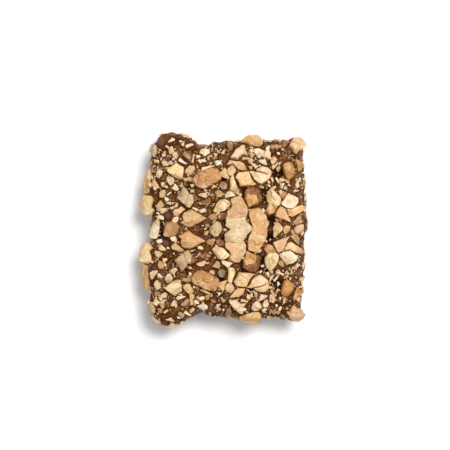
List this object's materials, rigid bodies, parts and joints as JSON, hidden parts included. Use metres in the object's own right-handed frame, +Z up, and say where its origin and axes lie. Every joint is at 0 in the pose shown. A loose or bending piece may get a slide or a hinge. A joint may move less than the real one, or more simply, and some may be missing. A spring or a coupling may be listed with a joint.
{
  "type": "english toffee",
  "caption": "Square piece of toffee in a milk chocolate coat, covered all over with chopped roasted almonds.",
  "frame": {"origin": "middle of the flat face that the piece rests on, under the middle of the slab", "axes": "+Z up out of the side that the picture shows, +X the picture's right, +Y the top of the picture, along the slab's longer side"},
  "size_m": [0.0422, 0.0499, 0.0137],
  "materials": {
    "chocolate": "milk chocolate with a soft satin sheen, dusted with fine almond crumbs",
    "almond": "matt roasted almond, cream to orange-tan, some faces with brown skin"
  },
  "bodies": {
    "root": {"english_toffee": "chocolate"}
  },
  "joints": []
}
